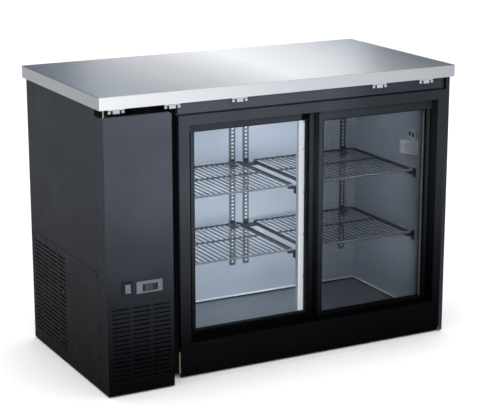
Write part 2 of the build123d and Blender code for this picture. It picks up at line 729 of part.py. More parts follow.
# ---------------------------------------------------------------- doors
def make_door(side, x, y, outer_is_left, seal):
    z = (door_bottom, door_top)
    y_span = (y, y + door_depth)
    if outer_is_left:
        outer_x, inner_x = (x[0], x[0] + outer_stile), (x[1] - inner_stile, x[1])
        glass_x = (outer_x[1], inner_x[0])
        groove_x = (outer_x[0] + 3.0, outer_x[0] + 11.0)
    else:
        outer_x, inner_x = (x[1] - outer_stile, x[1]), (x[0], x[0] + inner_stile)
        glass_x = (inner_x[1], outer_x[0])
        groove_x = (outer_x[1] - 11.0, outer_x[1] - 3.0)
    groove_depth = 10.0
    groove = block(groove_x, (y - 1, y + groove_depth), (glass_bottom, glass_top))
    outer = fillet(block(outer_x, y_span, z).edges().filter_by(Axis.Z), 1.2) - groove
    inner = fillet(block(inner_x, y_span, z).edges().filter_by(Axis.Z), 1.2)
    add(f"{side}_door_stiles", outer, inner)

    mid_y = y + door_depth / 2
    axle_z = track_rib_top + running_gap + roller_radius
    roller_spots = {"a": glass_x[0] + 50.0, "b": glass_x[1] - 50.0}
    bottom = block(glass_x, y_span, (door_bottom, glass_bottom))
    channel_x = (glass_x[0] - 1, glass_x[1] + 1)
    channel = block(channel_x, (mid_y - 5.0, mid_y + 5.0), (door_bottom - 1, 114.0))
    axle = 1.6
    axle_reach = 8.0
    bore_y = (mid_y - axle_reach - running_gap, mid_y + axle_reach + running_gap)
    bore_radius = axle + bearing_gap
    bores = []
    for rx in roller_spots.values():
        bores.append(rod((rx, bore_y[0], axle_z), (rx, bore_y[1], axle_z), bore_radius))
    top = block(glass_x, y_span, (glass_top, door_top))
    add(f"{side}_door_rails", bottom - channel - bores, top)

    for end, rx in roller_spots.items():
        half = roller_width / 2
        wheel = rod((rx, mid_y - half, axle_z), (rx, mid_y + half, axle_z), roller_radius)
        stub = rod((rx, mid_y - axle_reach, axle_z), (rx, mid_y + axle_reach, axle_z), axle)
        add(f"{side}_door_roller_{end}", wheel + stub)

    glass_z = (glass_bottom, glass_top)
    front_pane = (y + pane_recess, y + pane_recess + pane)
    rear_pane = (front_pane[0] + unit_depth - pane, front_pane[0] + unit_depth)
    panes = [block(glass_x, span, glass_z) for span in (front_pane, rear_pane)]
    add(f"{side}_door_glass", *panes)
    gasket = ring_bars(glass_x, (front_pane[1], rear_pane[0]), glass_z, 3.0)
    gasket += ring_bars(glass_x, (y + 3.5, front_pane[0]), glass_z, 3.0)
    gasket += ring_bars(glass_x, (rear_pane[1], rear_pane[1] + 2.5), glass_z, 3.0)
    if seal:
        strip_x = (inner_x[0] + 3, inner_x[1] - 3)
        gasket.append(block(strip_x, (y_span[1], y_span[1] + 3.0), (z[0] + 3, z[1] - 18)))
    add(f"{side}_door_seals", *gasket)


make_worktop()
make_worktop_clips()
make_left_panels()
make_right_panel()
make_back_panels()
make_base()
make_front_trim()
make_tracks()
make_jambs()
make_front_cover()
make_controller()
make_switch()
make_cabinet()
make_mullion()
make_pilasters()
make_shelves()
make_thermometer()
make_evaporator()
make_condensing_unit()
make_door("left", left_door_x, y_left_door, True, False)
make_door("right", right_door_x, y_right_door, False, True)

for name, shape in nodes.items():
    shape.label = name
    export_step(shape, f"parts/{name}.step")
print(len(nodes), "nodes")
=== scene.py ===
import json
import math

import bmesh
import bpy
from mathutils import Euler, Matrix, Vector


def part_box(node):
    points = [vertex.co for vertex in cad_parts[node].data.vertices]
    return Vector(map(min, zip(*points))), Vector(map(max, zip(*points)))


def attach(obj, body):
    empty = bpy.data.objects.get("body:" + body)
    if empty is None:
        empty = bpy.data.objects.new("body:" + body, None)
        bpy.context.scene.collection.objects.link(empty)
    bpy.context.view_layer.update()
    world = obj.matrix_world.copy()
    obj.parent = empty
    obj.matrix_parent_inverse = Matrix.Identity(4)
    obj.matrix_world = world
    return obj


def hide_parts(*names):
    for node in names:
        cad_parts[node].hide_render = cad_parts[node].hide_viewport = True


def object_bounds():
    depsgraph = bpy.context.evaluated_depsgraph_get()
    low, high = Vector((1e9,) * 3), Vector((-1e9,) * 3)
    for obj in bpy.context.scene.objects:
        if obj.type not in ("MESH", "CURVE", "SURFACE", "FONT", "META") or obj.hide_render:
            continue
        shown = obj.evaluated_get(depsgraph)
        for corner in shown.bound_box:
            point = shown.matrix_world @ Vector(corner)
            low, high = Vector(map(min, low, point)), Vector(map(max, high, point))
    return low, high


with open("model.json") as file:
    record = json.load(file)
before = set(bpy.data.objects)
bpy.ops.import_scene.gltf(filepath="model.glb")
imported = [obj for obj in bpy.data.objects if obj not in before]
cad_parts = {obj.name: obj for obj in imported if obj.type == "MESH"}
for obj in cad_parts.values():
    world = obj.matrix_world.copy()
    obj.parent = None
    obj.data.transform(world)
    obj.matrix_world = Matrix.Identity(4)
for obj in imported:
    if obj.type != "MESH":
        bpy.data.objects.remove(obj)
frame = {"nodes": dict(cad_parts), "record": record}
cad_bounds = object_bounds()
nodes = frame["nodes"]
full_width = (cad_bounds[0][0], cad_bounds[1][0])
full_height = (cad_bounds[0][2], cad_bounds[1][2])

# Centres along X, in metres
rear_pilasters = (-0.278, 0.084, 0.136, 0.524)
clip_centres = (-0.565, -0.386, -0.162, 0.335, 0.511)


# ---------------------------------------------------------------- materials
def new_material(name):
    """An empty material, its node tree and its shader."""
    material = bpy.data.materials.new(name)
    material.use_nodes = True
    tree = material.node_tree
    tree.nodes.clear()
    output = tree.nodes.new("ShaderNodeOutputMaterial")
    shader = tree.nodes.new("ShaderNodeBsdfPrincipled")
    tree.links.new(shader.outputs["BSDF"], output.inputs["Surface"])
    return material, tree, shader


def object_coords(tree, stretch=(1, 1, 1)):
    """Row frame coordinates, scaled by stretch."""
    coords = tree.nodes.new("ShaderNodeTexCoord")
    mapping = tree.nodes.new("ShaderNodeMapping")
    mapping.inputs["Scale"].default_value = stretch
    tree.links.new(coords.outputs["Object"], mapping.inputs["Vector"])
    return mapping.outputs["Vector"]


def axis_coord(tree, axis):
    """One coordinate of the row frame as a value."""
    coords = tree.nodes.new("ShaderNodeTexCoord")
    split = tree.nodes.new("ShaderNodeSeparateXYZ")
    tree.links.new(coords.outputs["Object"], split.inputs["Vector"])
    return split.outputs[axis]


def noise(tree, vector, scale, detail=3.0, roughness=0.5):
    """The factor of a noise texture."""
    node = tree.nodes.new("ShaderNodeTexNoise")
    node.inputs["Scale"].default_value = scale
    node.inputs["Detail"].default_value = detail
    node.inputs["Roughness"].default_value = roughness
    tree.links.new(vector, node.inputs["Vector"])
    return node.outputs["Fac"]


def ramp(tree, fac, stops):
    """A value turned into colour through the given stops."""
    node = tree.nodes.new("ShaderNodeValToRGB")
    elements = node.color_ramp.elements
    while len(elements) < len(stops):
        elements.new(0.5)
    for element, (position, color) in zip(elements, stops):
        element.position = position
        element.color = (*color, 1)
    tree.links.new(fac, node.inputs["Fac"])
    return node.outputs["Color"]


def spread(tree, fac, low, high, source=(0.3, 0.7)):
    """Maps a value in source onto low..high."""
    node = tree.nodes.new("ShaderNodeMapRange")
    node.inputs["From Min"].default_value = source[0]
    node.inputs["From Max"].default_value = source[1]
    node.inputs["To Min"].default_value = low
    node.inputs["To Max"].default_value = high
    tree.links.new(fac, node.inputs["Value"])
    return node.outputs["Result"]


def multiply(tree, first, second):
    """Two colours multiplied."""
    mix = tree.nodes.new("ShaderNodeMix")
    mix.data_type = "RGBA"
    mix.blend_type = "MULTIPLY"
    mix.inputs["Factor"].default_value = 1.0
    tree.links.new(first, mix.inputs[6])
    tree.links.new(second, mix.inputs[7])
    return mix.outputs[2]


def bump(tree, shader, height, strength, distance):
    """Fine relief from a height value."""
    node = tree.nodes.new("ShaderNodeBump")
    node.inputs["Strength"].default_value = strength
    node.inputs["Distance"].default_value = distance
    tree.links.new(height, node.inputs["Height"])
    tree.links.new(node.outputs["Normal"], shader.inputs["Normal"])


def tinted(color, factor):
    """A colour made darker or lighter by a factor."""
    return tuple(min(1.0, c * factor) for c in color)


def facing(tree, axis, low, high, source):
    """A factor that depends on which way a surface faces along one axis."""
    geometry = tree.nodes.new("ShaderNodeNewGeometry")
    split = tree.nodes.new("ShaderNodeSeparateXYZ")
    tree.links.new(geometry.outputs["Normal"], split.inputs["Vector"])
    return spread(tree, split.outputs[axis], low, high, source)


def grey_ramp(tree, fac, stops):
    """A value turned into grey through the given stops."""
    return ramp(tree, fac, [(at, (level, level, level)) for at, level in stops])


def coated(
    name,
    color,
    roughness,
    metallic=0.0,
    specular=0.5,
    grain=900.0,
    grain_height=0.00012,
    wear=0.12,
    coat=0.0,
    fade=None,
    across=None,
    turned=(),
):
    """Paint or plastic: slow patches of tone and gloss over a fine moulded grain.

    fade and across multiply the tone up the height and along the width, as painted shade and sheen.
    turned holds the settings of facing(), one tuple for each axis, as painted shade by the way faces turn.
    """
    material, tree, shader = new_material(name)
    shader.inputs["Metallic"].default_value = metallic
    shader.inputs["Specular IOR Level"].default_value = specular
    shader.inputs["Coat Weight"].default_value = coat
    shader.inputs["Coat Roughness"].default_value = 0.2
    vector = object_coords(tree)
    patches = noise(tree, vector, 6.0, 4.0)
    tone = ramp(tree, patches, [(0.3, tinted(color, 1 - wear)), (0.7, tinted(color, 1 + wear))])
    # Painted shade and sheen: the tone is multiplied by ramps up the height and along the width.
    if fade:
        height = spread(tree, axis_coord(tree, "Z"), 0.0, 1.0, full_height)
        tone = multiply(tree, tone, grey_ramp(tree, height, fade))
    if across:
        place = spread(tree, axis_coord(tree, "X"), 0.0, 1.0, full_width)
        tone = multiply(tree, tone, grey_ramp(tree, place, across))
    # Painted shade on faces by the way they turn.
    for axis, low, high, source in turned:
        tone = multiply(tree, tone, facing(tree, axis, low, high, source))
    tree.links.new(tone, shader.inputs["Base Color"])
    gloss = noise(tree, vector, 23.0, 5.0)
    tree.links.new(spread(tree, gloss, roughness - 0.04, roughness + 0.05), shader.inputs["Roughness"])
    bump(tree, shader, noise(tree, vector, grain, 2.0), 0.35, grain_height)
    return material


def brushed(name, color, roughness, along, bands=None, front=None):
    """Metal brushed along one axis.

    bands and front are optional slow tone bands across X, on its top and on its upright faces, as painted
    sheen and reflection; with them, faces turned to -X get painted shade.
    """
    material, tree, shader = new_material(name)
    shader.inputs["Metallic"].default_value = 1.0
    stretch = tuple(0.012 if axis == along else 1.0 for axis in "XYZ")
    vector = object_coords(tree, stretch)
    fine = noise(tree, vector, 1400.0, 3.0, 0.6)
    tree.links.new(spread(tree, fine, roughness - 0.07, roughness + 0.09), shader.inputs["Roughness"])
    tone = ramp(tree, fine, [(0.25, tinted(color, 0.92)), (0.75, tinted(color, 1.05))])
    if bands:
        place = spread(tree, axis_coord(tree, "X"), 0.0, 1.0, full_width)
        facing_up = facing(tree, "Z", 0.0, 1.0, (0.6, 0.8))
        mix = tree.nodes.new("ShaderNodeMix")
        mix.data_type = "RGBA"
        tree.links.new(facing_up, mix.inputs[0])
        tree.links.new(ramp(tree, place, front), mix.inputs[6])
        tree.links.new(ramp(tree, place, bands), mix.inputs[7])
        tone = multiply(tree, tone, mix.outputs[2])
        # Painted shade on faces turned to -X.
        tone = multiply(tree, tone, facing(tree, "X", 0.4, 1.0, (-0.9, -0.5)))
    tree.links.new(tone, shader.inputs["Base Color"])
    bump(tree, shader, fine, 0.4, 0.00004)
    return material


def clear_glass(name, color, alpha, roughness=0.02, specular=0.5):
    """Thin glass with a faint haze."""
    material, tree, shader = new_material(name)
    shader.inputs["Alpha"].default_value = alpha
    shader.inputs["Specular IOR Level"].default_value = specular
    shader.inputs["IOR"].default_value = 1.5
    vector = object_coords(tree)
    haze = noise(tree, vector, 9.0, 4.0)
    tree.links.new(spread(tree, haze, roughness, roughness + 0.05), shader.inputs["Roughness"])
    tone = ramp(tree, haze, [(0.3, tinted(color, 0.9)), (0.7, color)])
    tree.links.new(tone, shader.inputs["Base Color"])
    return material


# Painted sheen and reflection on the worktop: bands across its top, brightest past the middle, and a ramp
# along its upright faces, brightest at the left.
worktop_painted_sheen = [
    (0.0, (0.26, 0.31, 0.38)),
    (0.15, (0.32, 0.35, 0.39)),
    (0.34, (0.55, 0.55, 0.56)),
    (0.55, (0.95, 0.95, 0.96)),
    (0.75, (0.74, 0.74, 0.76)),
    (1.0, (0.32, 0.36, 0.42)),
]
worktop_front_painted_sheen = [(0.0, (0.93, 0.92, 0.92)), (0.4, (0.78, 0.78, 0.79)), (1.0, (0.53, 0.53, 0.54))]
# Painted shade and sheen on the black body: darker towards the bottom and the right, and on faces turned to
# -X.
body_painted_shade_by_height = [(0.0, 0.02), (0.12, 0.05), (0.3, 0.24), (0.45, 0.55), (0.65, 0.88), (1.0, 1.05)]
body_painted_shade_across = [(0.0, 1.0), (0.21, 1.25), (0.5, 1.1), (0.64, 1.0), (0.78, 0.65), (1.0, 0.55)]
side_painted_shade = [("X", 0.6, 1.0, (-0.9, -0.5))]
# Painted shade on the liner's up-facing faces, which darkens the cabin floor.
floor_painted_shade = [("Z", 1.0, 0.3, (0.5, 0.9))]

body_painted_shading = {"fade": body_painted_shade_by_height, "across": body_painted_shade_across, "turned": side_painted_shade}

looks = {
    "worktop_steel": brushed(
        "look_worktop_steel", (0.82, 0.84, 0.87), 0.34, "Y", worktop_painted_sheen, worktop_front_painted_sheen
    ),
    "zinc_steel": brushed("look_zinc_steel", (0.74, 0.75, 0.77), 0.32, "X"),
    "pilaster_steel": brushed("look_pilaster_steel", (0.16, 0.18, 0.21), 0.4, "Z"),
    "back_steel": coated("look_back_steel", (0.36, 0.37, 0.38), 0.42, metallic=0.7, grain=60.0, wear=0.2),
    # The body and door coats carry the painted shade and sheen ramps.
    "black_coat": coated("look_black_coat", (0.060, 0.067, 0.083), 0.42, specular=0.014, **body_painted_shading),
    "door_black": coated("look_door_black", (0.046, 0.051, 0.062), 0.4, specular=0.016, **body_painted_shading),
    "rubber_black": coated("look_rubber_black", (0.012, 0.012, 0.012), 0.7, specular=0.2, grain=500.0),
    "seal_rubber": coated("look_seal_rubber", (0.003, 0.003, 0.003), 0.6, specular=0.05, grain=500.0),
    "black_plastic": coated("look_black_plastic", (0.006, 0.006, 0.007), 0.42, specular=0.15, grain=1400.0),
    "bezel_plastic": coated("look_bezel_plastic", (0.115, 0.135, 0.165), 0.35, specular=0.3, grain=1400.0),
    "display_window": coated(
        "look_display_window", (0.012, 0.014, 0.018), 0.2, specular=0.15, grain=50.0, grain_height=0.00001
    ),
    "button_plastic": coated("look_button_plastic", (0.16, 0.185, 0.22), 0.35),
    "rocker_plastic": coated("look_rocker_plastic", (0.1, 0.125, 0.155), 0.3, coat=0.2),
    # The liner's up-facing faces get painted shade.
    "liner_white": coated(
        "look_liner_white", (0.44, 0.5, 0.58), 0.4, metallic=0.15, wear=0.05, turned=floor_painted_shade
    ),
    "evaporator_white": coated("look_evaporator_white", (0.56, 0.62, 0.7), 0.4, wear=0.05),
    "foam": coated("look_foam", (0.75, 0.68, 0.45), 0.8, grain=300.0, grain_height=0.0008),
    "strip_plastic": coated("look_strip_plastic", (0.9, 0.93, 0.97), 0.3, wear=0.02),
    "clip_plastic": coated("look_clip_plastic", (0.01, 0.011, 0.014), 0.45, specular=0.2),
    "thermometer_plastic": coated("look_thermometer_plastic", (0.7, 0.74, 0.78), 0.3, wear=0.03),
    "fin_aluminium": brushed("look_fin_aluminium", (0.72, 0.74, 0.76), 0.38, "Z"),
    "fan_plastic": coated("look_fan_plastic", (0.03, 0.03, 0.033), 0.45),
    "motor_black": coated("look_motor_black", (0.014, 0.014, 0.015), 0.3, coat=0.4, grain=200.0),
    "copper": coated("look_copper", (0.75, 0.36, 0.2), 0.32, metallic=1.0, wear=0.2),
    "door_glass": clear_glass("look_door_glass", (0.06, 0.075, 0.09), 0.08),
    "roller_nylon": coated("look_roller_nylon", (0.75, 0.74, 0.7), 0.45),
    # The wires' dark tone is painted shade inside the cabinet.
    "shelf_wire": coated("look_shelf_wire", (0.085, 0.097, 0.115), 0.35, metallic=0.2),
}
# A darker, less clear copy of the door glass for the right door: painted shade over the bay behind it.
right_glass_painted_shade = clear_glass("look_shaded_glass", (0.004, 0.005, 0.007), 0.32, specular=0.1)
# Near-black: painted shade on the centre post and on the left door's rail ends; plain black on the panel
# screws.
black_and_painted_shade = coated("look_channel_black", (0.002, 0.002, 0.002), 0.6, specular=0.03)
# Pale: a painted highlight on the right shelves' front bars, the floor lip and the pilaster slots; plain
# pale on the wall label.
pale_and_painted_highlight = coated("look_shelf_front", (0.88, 0.93, 0.98), 0.3, wear=0.02)
# A darker copy for the left shelves' front bars: painted shade.
shelf_bar_painted_shade = coated("look_shelf_shaded", (0.27, 0.3, 0.34), 0.3, wear=0.03)
clip_steel = brushed("look_clip_steel", (0.5, 0.54, 0.6), 0.38, "Z")
# Near-black: the shelf frames, and painted shadow under the floor lip.
shelf_dark = coated("look_shelf_dark", (0.02, 0.024, 0.03), 0.4, specular=0.3, grain=400.0)
label_paper = coated("look_label_paper", (0.72, 0.76, 0.8), 0.5, wear=0.02)
label_ink = coated("look_label_ink", (0.03, 0.03, 0.035), 0.5)
digit_glow = coated("look_digit_glow", (0.1, 0.11, 0.12), 0.4)
screw_steel = brushed("look_screw_steel", (0.6, 0.62, 0.65), 0.3, "X")
edge_grey = coated("look_edge_grey", (0.3, 0.33, 0.38), 0.4, wear=0.05)
# A darker copy of the black coat, without its ramps, for the right panel: painted shade.
right_panel_painted_shade = coated("look_end_panel", (0.026, 0.029, 0.036), 0.42, specular=0.014)
exceptions = {"right_door_glass": right_glass_painted_shade, "centre_post": black_and_painted_shade, "right_panel": right_panel_painted_shade}

strip_shader = looks["strip_plastic"].node_tree.nodes["Principled BSDF"]
strip_shader.inputs["Emission Color"].default_value = (0.93, 0.96, 1.0, 1)
strip_shader.inputs["Emission Strength"].default_value = 0.45

for part in frame["record"]["subparts"]:
    node = nodes[part["node"]]
    node.data.materials.clear()
    node.data.materials.append(exceptions.get(part["node"], looks[part["material_slot"]]))


# ---------------------------------------------------------------- pieces
def piece(name, bm, material, body, bevel=None):
    """Makes a piece from a bmesh and sets its look, body and slot."""
    mesh = bpy.data.meshes.new(name)
    bm.to_mesh(mesh)
    bm.free()
    mesh.materials.append(material)
    thing = bpy.data.objects.new(name, mesh)
    bpy.context.collection.objects.link(thing)
    if bevel:
        modifier = thing.modifiers.new("edges", "BEVEL")
        modifier.width = bevel
        modifier.segments = 2
        modifier.limit_method = "ANGLE"
    for face in mesh.polygons:
        face.use_smooth = bevel is None
    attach(thing, body)
    return thing


def add_box(bm, low, high):
    """A box between its lowest and highest corners."""
    corners = []
    for x in (low[0], high[0]):
        for y in (low[1], high[1]):
            for z in (low[2], high[2]):
                corners.append(bm.verts.new((x, y, z)))
    for face in ((0, 1, 3, 2), (4, 6, 7, 5), (0, 4, 5, 1), (2, 3, 7, 6), (0, 2, 6, 4), (1, 5, 7, 3)):
        bm.faces.new([corners[i] for i in face])


def add_tube(bm, points, radius, sides=10, closed=False):
    """A round bar along a line of points, with parallel rings and flat ends."""
    points = [Vector(p) for p in points]
    count = len(points)
    rings = []
    side = None
    for i, point in enumerate(points):
        before = points[i - 1] if closed or i > 0 else point
        after = points[(i + 1) % count] if closed or i < count - 1 else point
        along = (after - before).normalized()
        if side is None:
            side = along.orthogonal().normalized()
        side = (side - along * side.dot(along)).normalized()
        across = along.cross(side)
        circle = []
        for k in range(sides):
            angle = 2 * math.pi * k / sides
            offset = (side * math.cos(angle) + across * math.sin(angle)) * radius
            circle.append(bm.verts.new(point + offset))
        rings.append(circle)
    spans = count if closed else count - 1
    for i in range(spans):
        first, second = rings[i], rings[(i + 1) % count]
        for k in range(sides):
            j = (k + 1) % sides
            bm.faces.new((first[k], first[j], second[j], second[k]))
    if not closed:
        bm.faces.new(reversed(rings[0]))
        bm.faces.new(rings[-1])


def add_dome(bm, centre, normal, radius, height, sides=16):
    """The head of a screw: a short upright rim under a rounded top."""
    turn = Vector(normal).to_track_quat("Z", "Y").to_matrix().to_4x4()
    place = Matrix.Translation(centre) @ turn
    rings = []
    for share, rise in ((1.0, 0.0), (1.0, 0.45), (0.85, 0.8), (0.5, 0.97)):
        circle = []
        reach = radius * share
        for k in range(sides):
            angle = 2 * math.pi * k / sides
            spot = Vector((reach * math.cos(angle), reach * math.sin(angle), height * rise))
            circle.append(bm.verts.new(place @ spot))
        rings.append(circle)
    for first, second in zip(rings, rings[1:]):
        for k in range(sides):
            j = (k + 1) % sides
            bm.faces.new((first[k], first[j], second[j], second[k]))
    bm.faces.new(rings[-1])


def rounded_loop(x, y, z, radius, steps=6):
    """Points round a rectangle with rounded corners, in a level plane."""
    points = []
    corners = (
        (x[1] - radius, y[1] - radius, 0),
        (x[0] + radius, y[1] - radius, 90),
        (x[0] + radius, y[0] + radius, 180),
        (x[1] - radius, y[0] + radius, 270),
    )
    for cx, cy, start in corners:
        for k in range(steps + 1):
            angle = math.radians(start + 90 * k / steps)
            points.append((cx + radius * math.cos(angle), cy + radius * math.sin(angle), z))
    return points


def shelves():
    """Each shelf as a dark frame with a middle bar, a front bar and round wires."""
    bar = 0.0035
    wire = 0.002
    for name in ("left_lower_shelf", "left_upper_shelf", "right_lower_shelf", "right_upper_shelf"):
        low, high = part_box(name)
        level = high[2] - 0.0045
        x = (low[0] + bar, high[0] - bar)
        y = (low[1] + bar, high[1] - bar)
        dark = bmesh.new()
        loop = rounded_loop(x, y, level, 0.009)
        back = [p for p in loop if p[1] > y[0] + 0.02]
        add_tube(dark, back, bar, 12)
        middle = low[1] + (high[1] - low[1]) * 0.55
        add_tube(dark, [(x[0], middle, level - 0.0005), (x[1], middle, level - 0.0005)], bar - 0.0005)
        for edge, inner in ((low[0], low[0] + 0.004), (high[0] - 0.004, high[0])):
            add_box(dark, (edge, low[1] + 0.012, low[2]), (inner, high[1] - 0.012, level + 0.0035))
        piece(f"{name}_frame", dark, shelf_dark, name, bevel=0.0006)
        rail = bmesh.new()
        add_tube(rail, [p for p in loop if p[1] < y[0] + 0.02], bar, 12)
        # Right front bars get the lit copy, left ones the darker copy: painted highlight and painted shade.
        bar_look = pale_and_painted_highlight if name.startswith("right") else shelf_bar_painted_shade
        piece(f"{name}_front_bar", rail, bar_look, name)
        light = bmesh.new()
        count = 19
        pitch = 0.020
        first = (low[0] + high[0]) / 2 - (count - 1) * pitch / 2
        for i in range(count):
            place = first + i * pitch
            height = level + 0.0025
            add_tube(light, [(place, y[0], height), (place, y[1], height)], wire, 8)
        wires = piece(f"{name}_wires", light, looks["shelf_wire"], name)
        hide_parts(name)


def light_strip():
    """The lit strip on the mullion: a cover between two end caps, with its screws."""
    low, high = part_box("light_strip")
    x = (low[0] + 0.001, high[0] + 0.004)
    cap = 0.008
    cover = bmesh.new()
    add_box(cover, (x[0], low[1], low[2] + cap), (x[1], high[1], high[2] - cap))
    slot = "strip_plastic"
    strip = piece("light_strip_cover", cover, looks[slot], "cabinet", bevel=0.0012)
    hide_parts("light_strip")
    caps = bmesh.new()
    for start in (low[2], high[2] - cap):
        add_box(caps, (x[0] - 0.0005, low[1] - 0.0003, start), (x[1] + 0.0005, high[1], start + cap))
    piece("light_strip_caps", caps, looks["evaporator_white"], "cabinet", bevel=0.0008)
    screws = bmesh.new()
    for share in (0.05, 0.22, 0.42, 0.62, 0.82, 0.95):
        spot = ((x[0] + x[1]) / 2, low[1], low[2] + (high[2] - low[2]) * share)
        add_dome(screws, spot, (0, -1, 0), 0.0026, 0.001)
    piece("light_strip_screws", screws, screw_steel, "cabinet")


def panel_screws():
    """Screw heads round the left service panel, the rear grille and the back panel."""
    bm = bmesh.new()
    low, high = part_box("left_service_panel")
    for y in (low[1] + 0.012, high[1] - 0.012):
        for z in (low[2] + 0.014, high[2] - 0.014):
            add_dome(bm, (low[0], y, z), (-1, 0, 0), 0.0038, 0.0016)
    for name, columns, rows in (("rear_grille", 2, 4), ("back_panel", 3, 3)):
        low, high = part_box(name)
        margin = 0.013
        for i in range(columns):
            x = low[0] + margin + i * (high[0] - low[0] - 2 * margin) / (columns - 1)
            for k in range(rows):
                z = low[2] + 2 * margin + k * (high[2] - low[2] - 4 * margin) / (rows - 1)
                add_dome(bm, (x, high[1], z), (0, 1, 0), 0.0038, 0.0016)
    piece("panel_screws", bm, black_and_painted_shade, "cabinet")


def wall_label():
    """A plain label with ruled lines on a small holder that swings out from the right wall."""
    low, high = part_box("thermometer")
    hinge = Vector((high[0] - 0.002, low[1] - 0.006, low[2] - 0.050))
    turn = Matrix.Translation(hinge) @ Matrix.Rotation(math.radians(30), 4, "Z")
    width, height = 0.068, 0.046
    plate = bmesh.new()
    add_box(plate, (0, 0, 0), (0.0008, width, height))
    ink = bmesh.new()
    for i, share in enumerate((0.6, 0.85, 0.78, 0.5, 0.7)):
        z = height - 0.008 - i * 0.008
        add_box(ink, (-0.0002, 0.005, z), (0.0001, 0.005 + (width - 0.01) * share, z + 0.0018))
    pin = bmesh.new()
    add_tube(pin, [(0.0012, 0, -0.003), (0.0012, 0, height + 0.003)], 0.0016, 10)
    for bm in (plate, ink, pin):
        bmesh.ops.transform(bm, matrix=turn, verts=bm.verts)
    piece("wall_label", plate, pale_and_painted_highlight, "cabinet", bevel=0.0002)
    piece("wall_label_lines", ink, label_ink, "cabinet", bevel=0.0001)
    piece("wall_label_pin", pin, looks["zinc_steel"], "cabinet")
    dial = bmesh.new()
    for start in (0.007, 0.027):
        y = (low[1] + start, low[1] + start + 0.014)
        add_box(dial, (low[0] - 0.0006, y[0], low[2] + 0.008), (low[0], y[1], high[2] - 0.008))
    piece("thermometer_dial", dial, label_ink, "cabinet", bevel=0.0003)


def door_edges():
    """The spacer inside the right door's glass unit, the light jamb strip behind it and the meeting lip."""
    low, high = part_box("right_door_glass")
    pane = 0.004
    spacer = bmesh.new()
    inside = 0.003
    y = (low[1] + pane, high[1] - pane)
    z = (low[2] + inside, high[2] - inside)
    for edge in (low[0] + inside, high[0] - inside - 0.0006):
        add_box(spacer, (edge, y[0], z[0]), (edge + 0.0006, y[1], z[1]))
    piece("right_door_spacers", spacer, edge_grey, "right_door", bevel=0.0001)

    jamb_low, jamb_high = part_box("right_jamb")
    strip = bmesh.new()
    back = (jamb_high[1] - 0.036, jamb_high[1] - 0.001)
    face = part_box("door_bumpers")[1][0] - 0.0095
    add_box(strip, (face, back[0], jamb_low[2] + 0.002), (face + 0.0014, back[1], jamb_high[2] - 0.002))
    piece("right_jamb_strip", strip, edge_grey, "cabinet", bevel=0.0003)

    low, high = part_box("right_door_stiles")
    seal_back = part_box("right_door_seals")[1][1]
    lip = bmesh.new()
    start = (low[0] + 0.0002, high[1] + 0.0002, low[2] + 0.003)
    add_box(lip, start, (low[0] + 0.004, seal_back, high[2] - 0.018))
    piece("meeting_lip", lip, looks["seal_rubber"], "right_door", bevel=0.0004)


def display_digits():
    """Two unlit digits and a point on the face of the window."""
    low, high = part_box("controller_window")
    face = low[1]
    rise = 0.0002
    gap = 0.001
    half = 0.0008
    width, height = 0.0075, 0.014
    middle = (low[2] + high[2]) / 2
    bottom, top = middle - height / 2, middle + height / 2
    bm = bmesh.new()
    for x in (low[0] + 0.012, low[0] + 0.0245):
        for z in (bottom, middle, top):
            add_box(bm, (x + gap, face - rise, z - half), (x + width - gap, face, z + half))
        for edge in (x, x + width):
            for a, b in ((bottom + gap, middle - gap), (middle + gap, top - gap)):
                add_box(bm, (edge - half, face - rise, a), (edge + half, face, b))
    point_x = (low[0] + 0.0375, low[0] + 0.0395)
    add_box(bm, (point_x[0], face - rise, middle + 0.004), (point_x[1], face, middle + 0.006))
    piece("display_digits", bm, digit_glow, "cabinet", bevel=0.0001)


def floor_cove():
    """A pale lip along the cabin's back and side walls where they meet its floor, a painted highlight, and
    a dark strip under it, painted shadow.
    """
    low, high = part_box("inner_liner")
    sheet = 0.0012
    left, right = low[0] + sheet, high[0] - sheet
    front, back = low[1] + 0.006, high[1] - sheet
    floor = low[2] + sheet
    lip = 0.003
    width = 0.004
    top = floor + 0.005
    bright = bmesh.new()
    level = top + lip
    corners = [
        (left + lip, front),
        (left + lip, back - lip),
        (right - lip, back - lip),
        (right - lip, front),
    ]
    add_tube(bright, [(x, y, level) for x, y in corners], lip, 8)
    piece("floor_lip", bright, pale_and_painted_highlight, "cabinet")
    # Painted shadow under the lip.
    dark = bmesh.new()
    add_box(dark, (left, back - width, floor), (right, back, top))
    add_box(dark, (right - width, front, floor), (right, back - width, top))
    add_box(dark, (left, front, floor), (left + width, back - width, top))
    piece("floor_painted_shadow", dark, shelf_dark, "cabinet", bevel=0.001)


def pilaster_slot_painted_light():
    """Bright strips just behind each rear pilaster's face, seen through its slots: painted light in the
    slots.
    """
    low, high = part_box("shelf_pilasters")
    depth = 0.005
    face = high[1] - depth
    half = 0.0065
    y = (face + 0.0014, face + 0.003)
    z = (low[2] + 0.004, high[2] - 0.004)
    bm = bmesh.new()
    for centre in rear_pilasters:
        add_box(bm, (centre - half, y[0], z[0]), (centre + half, y[1], z[1]))
    piece("pilaster_slot_painted_light", bm, pale_and_painted_highlight, "cabinet", bevel=0.0003)


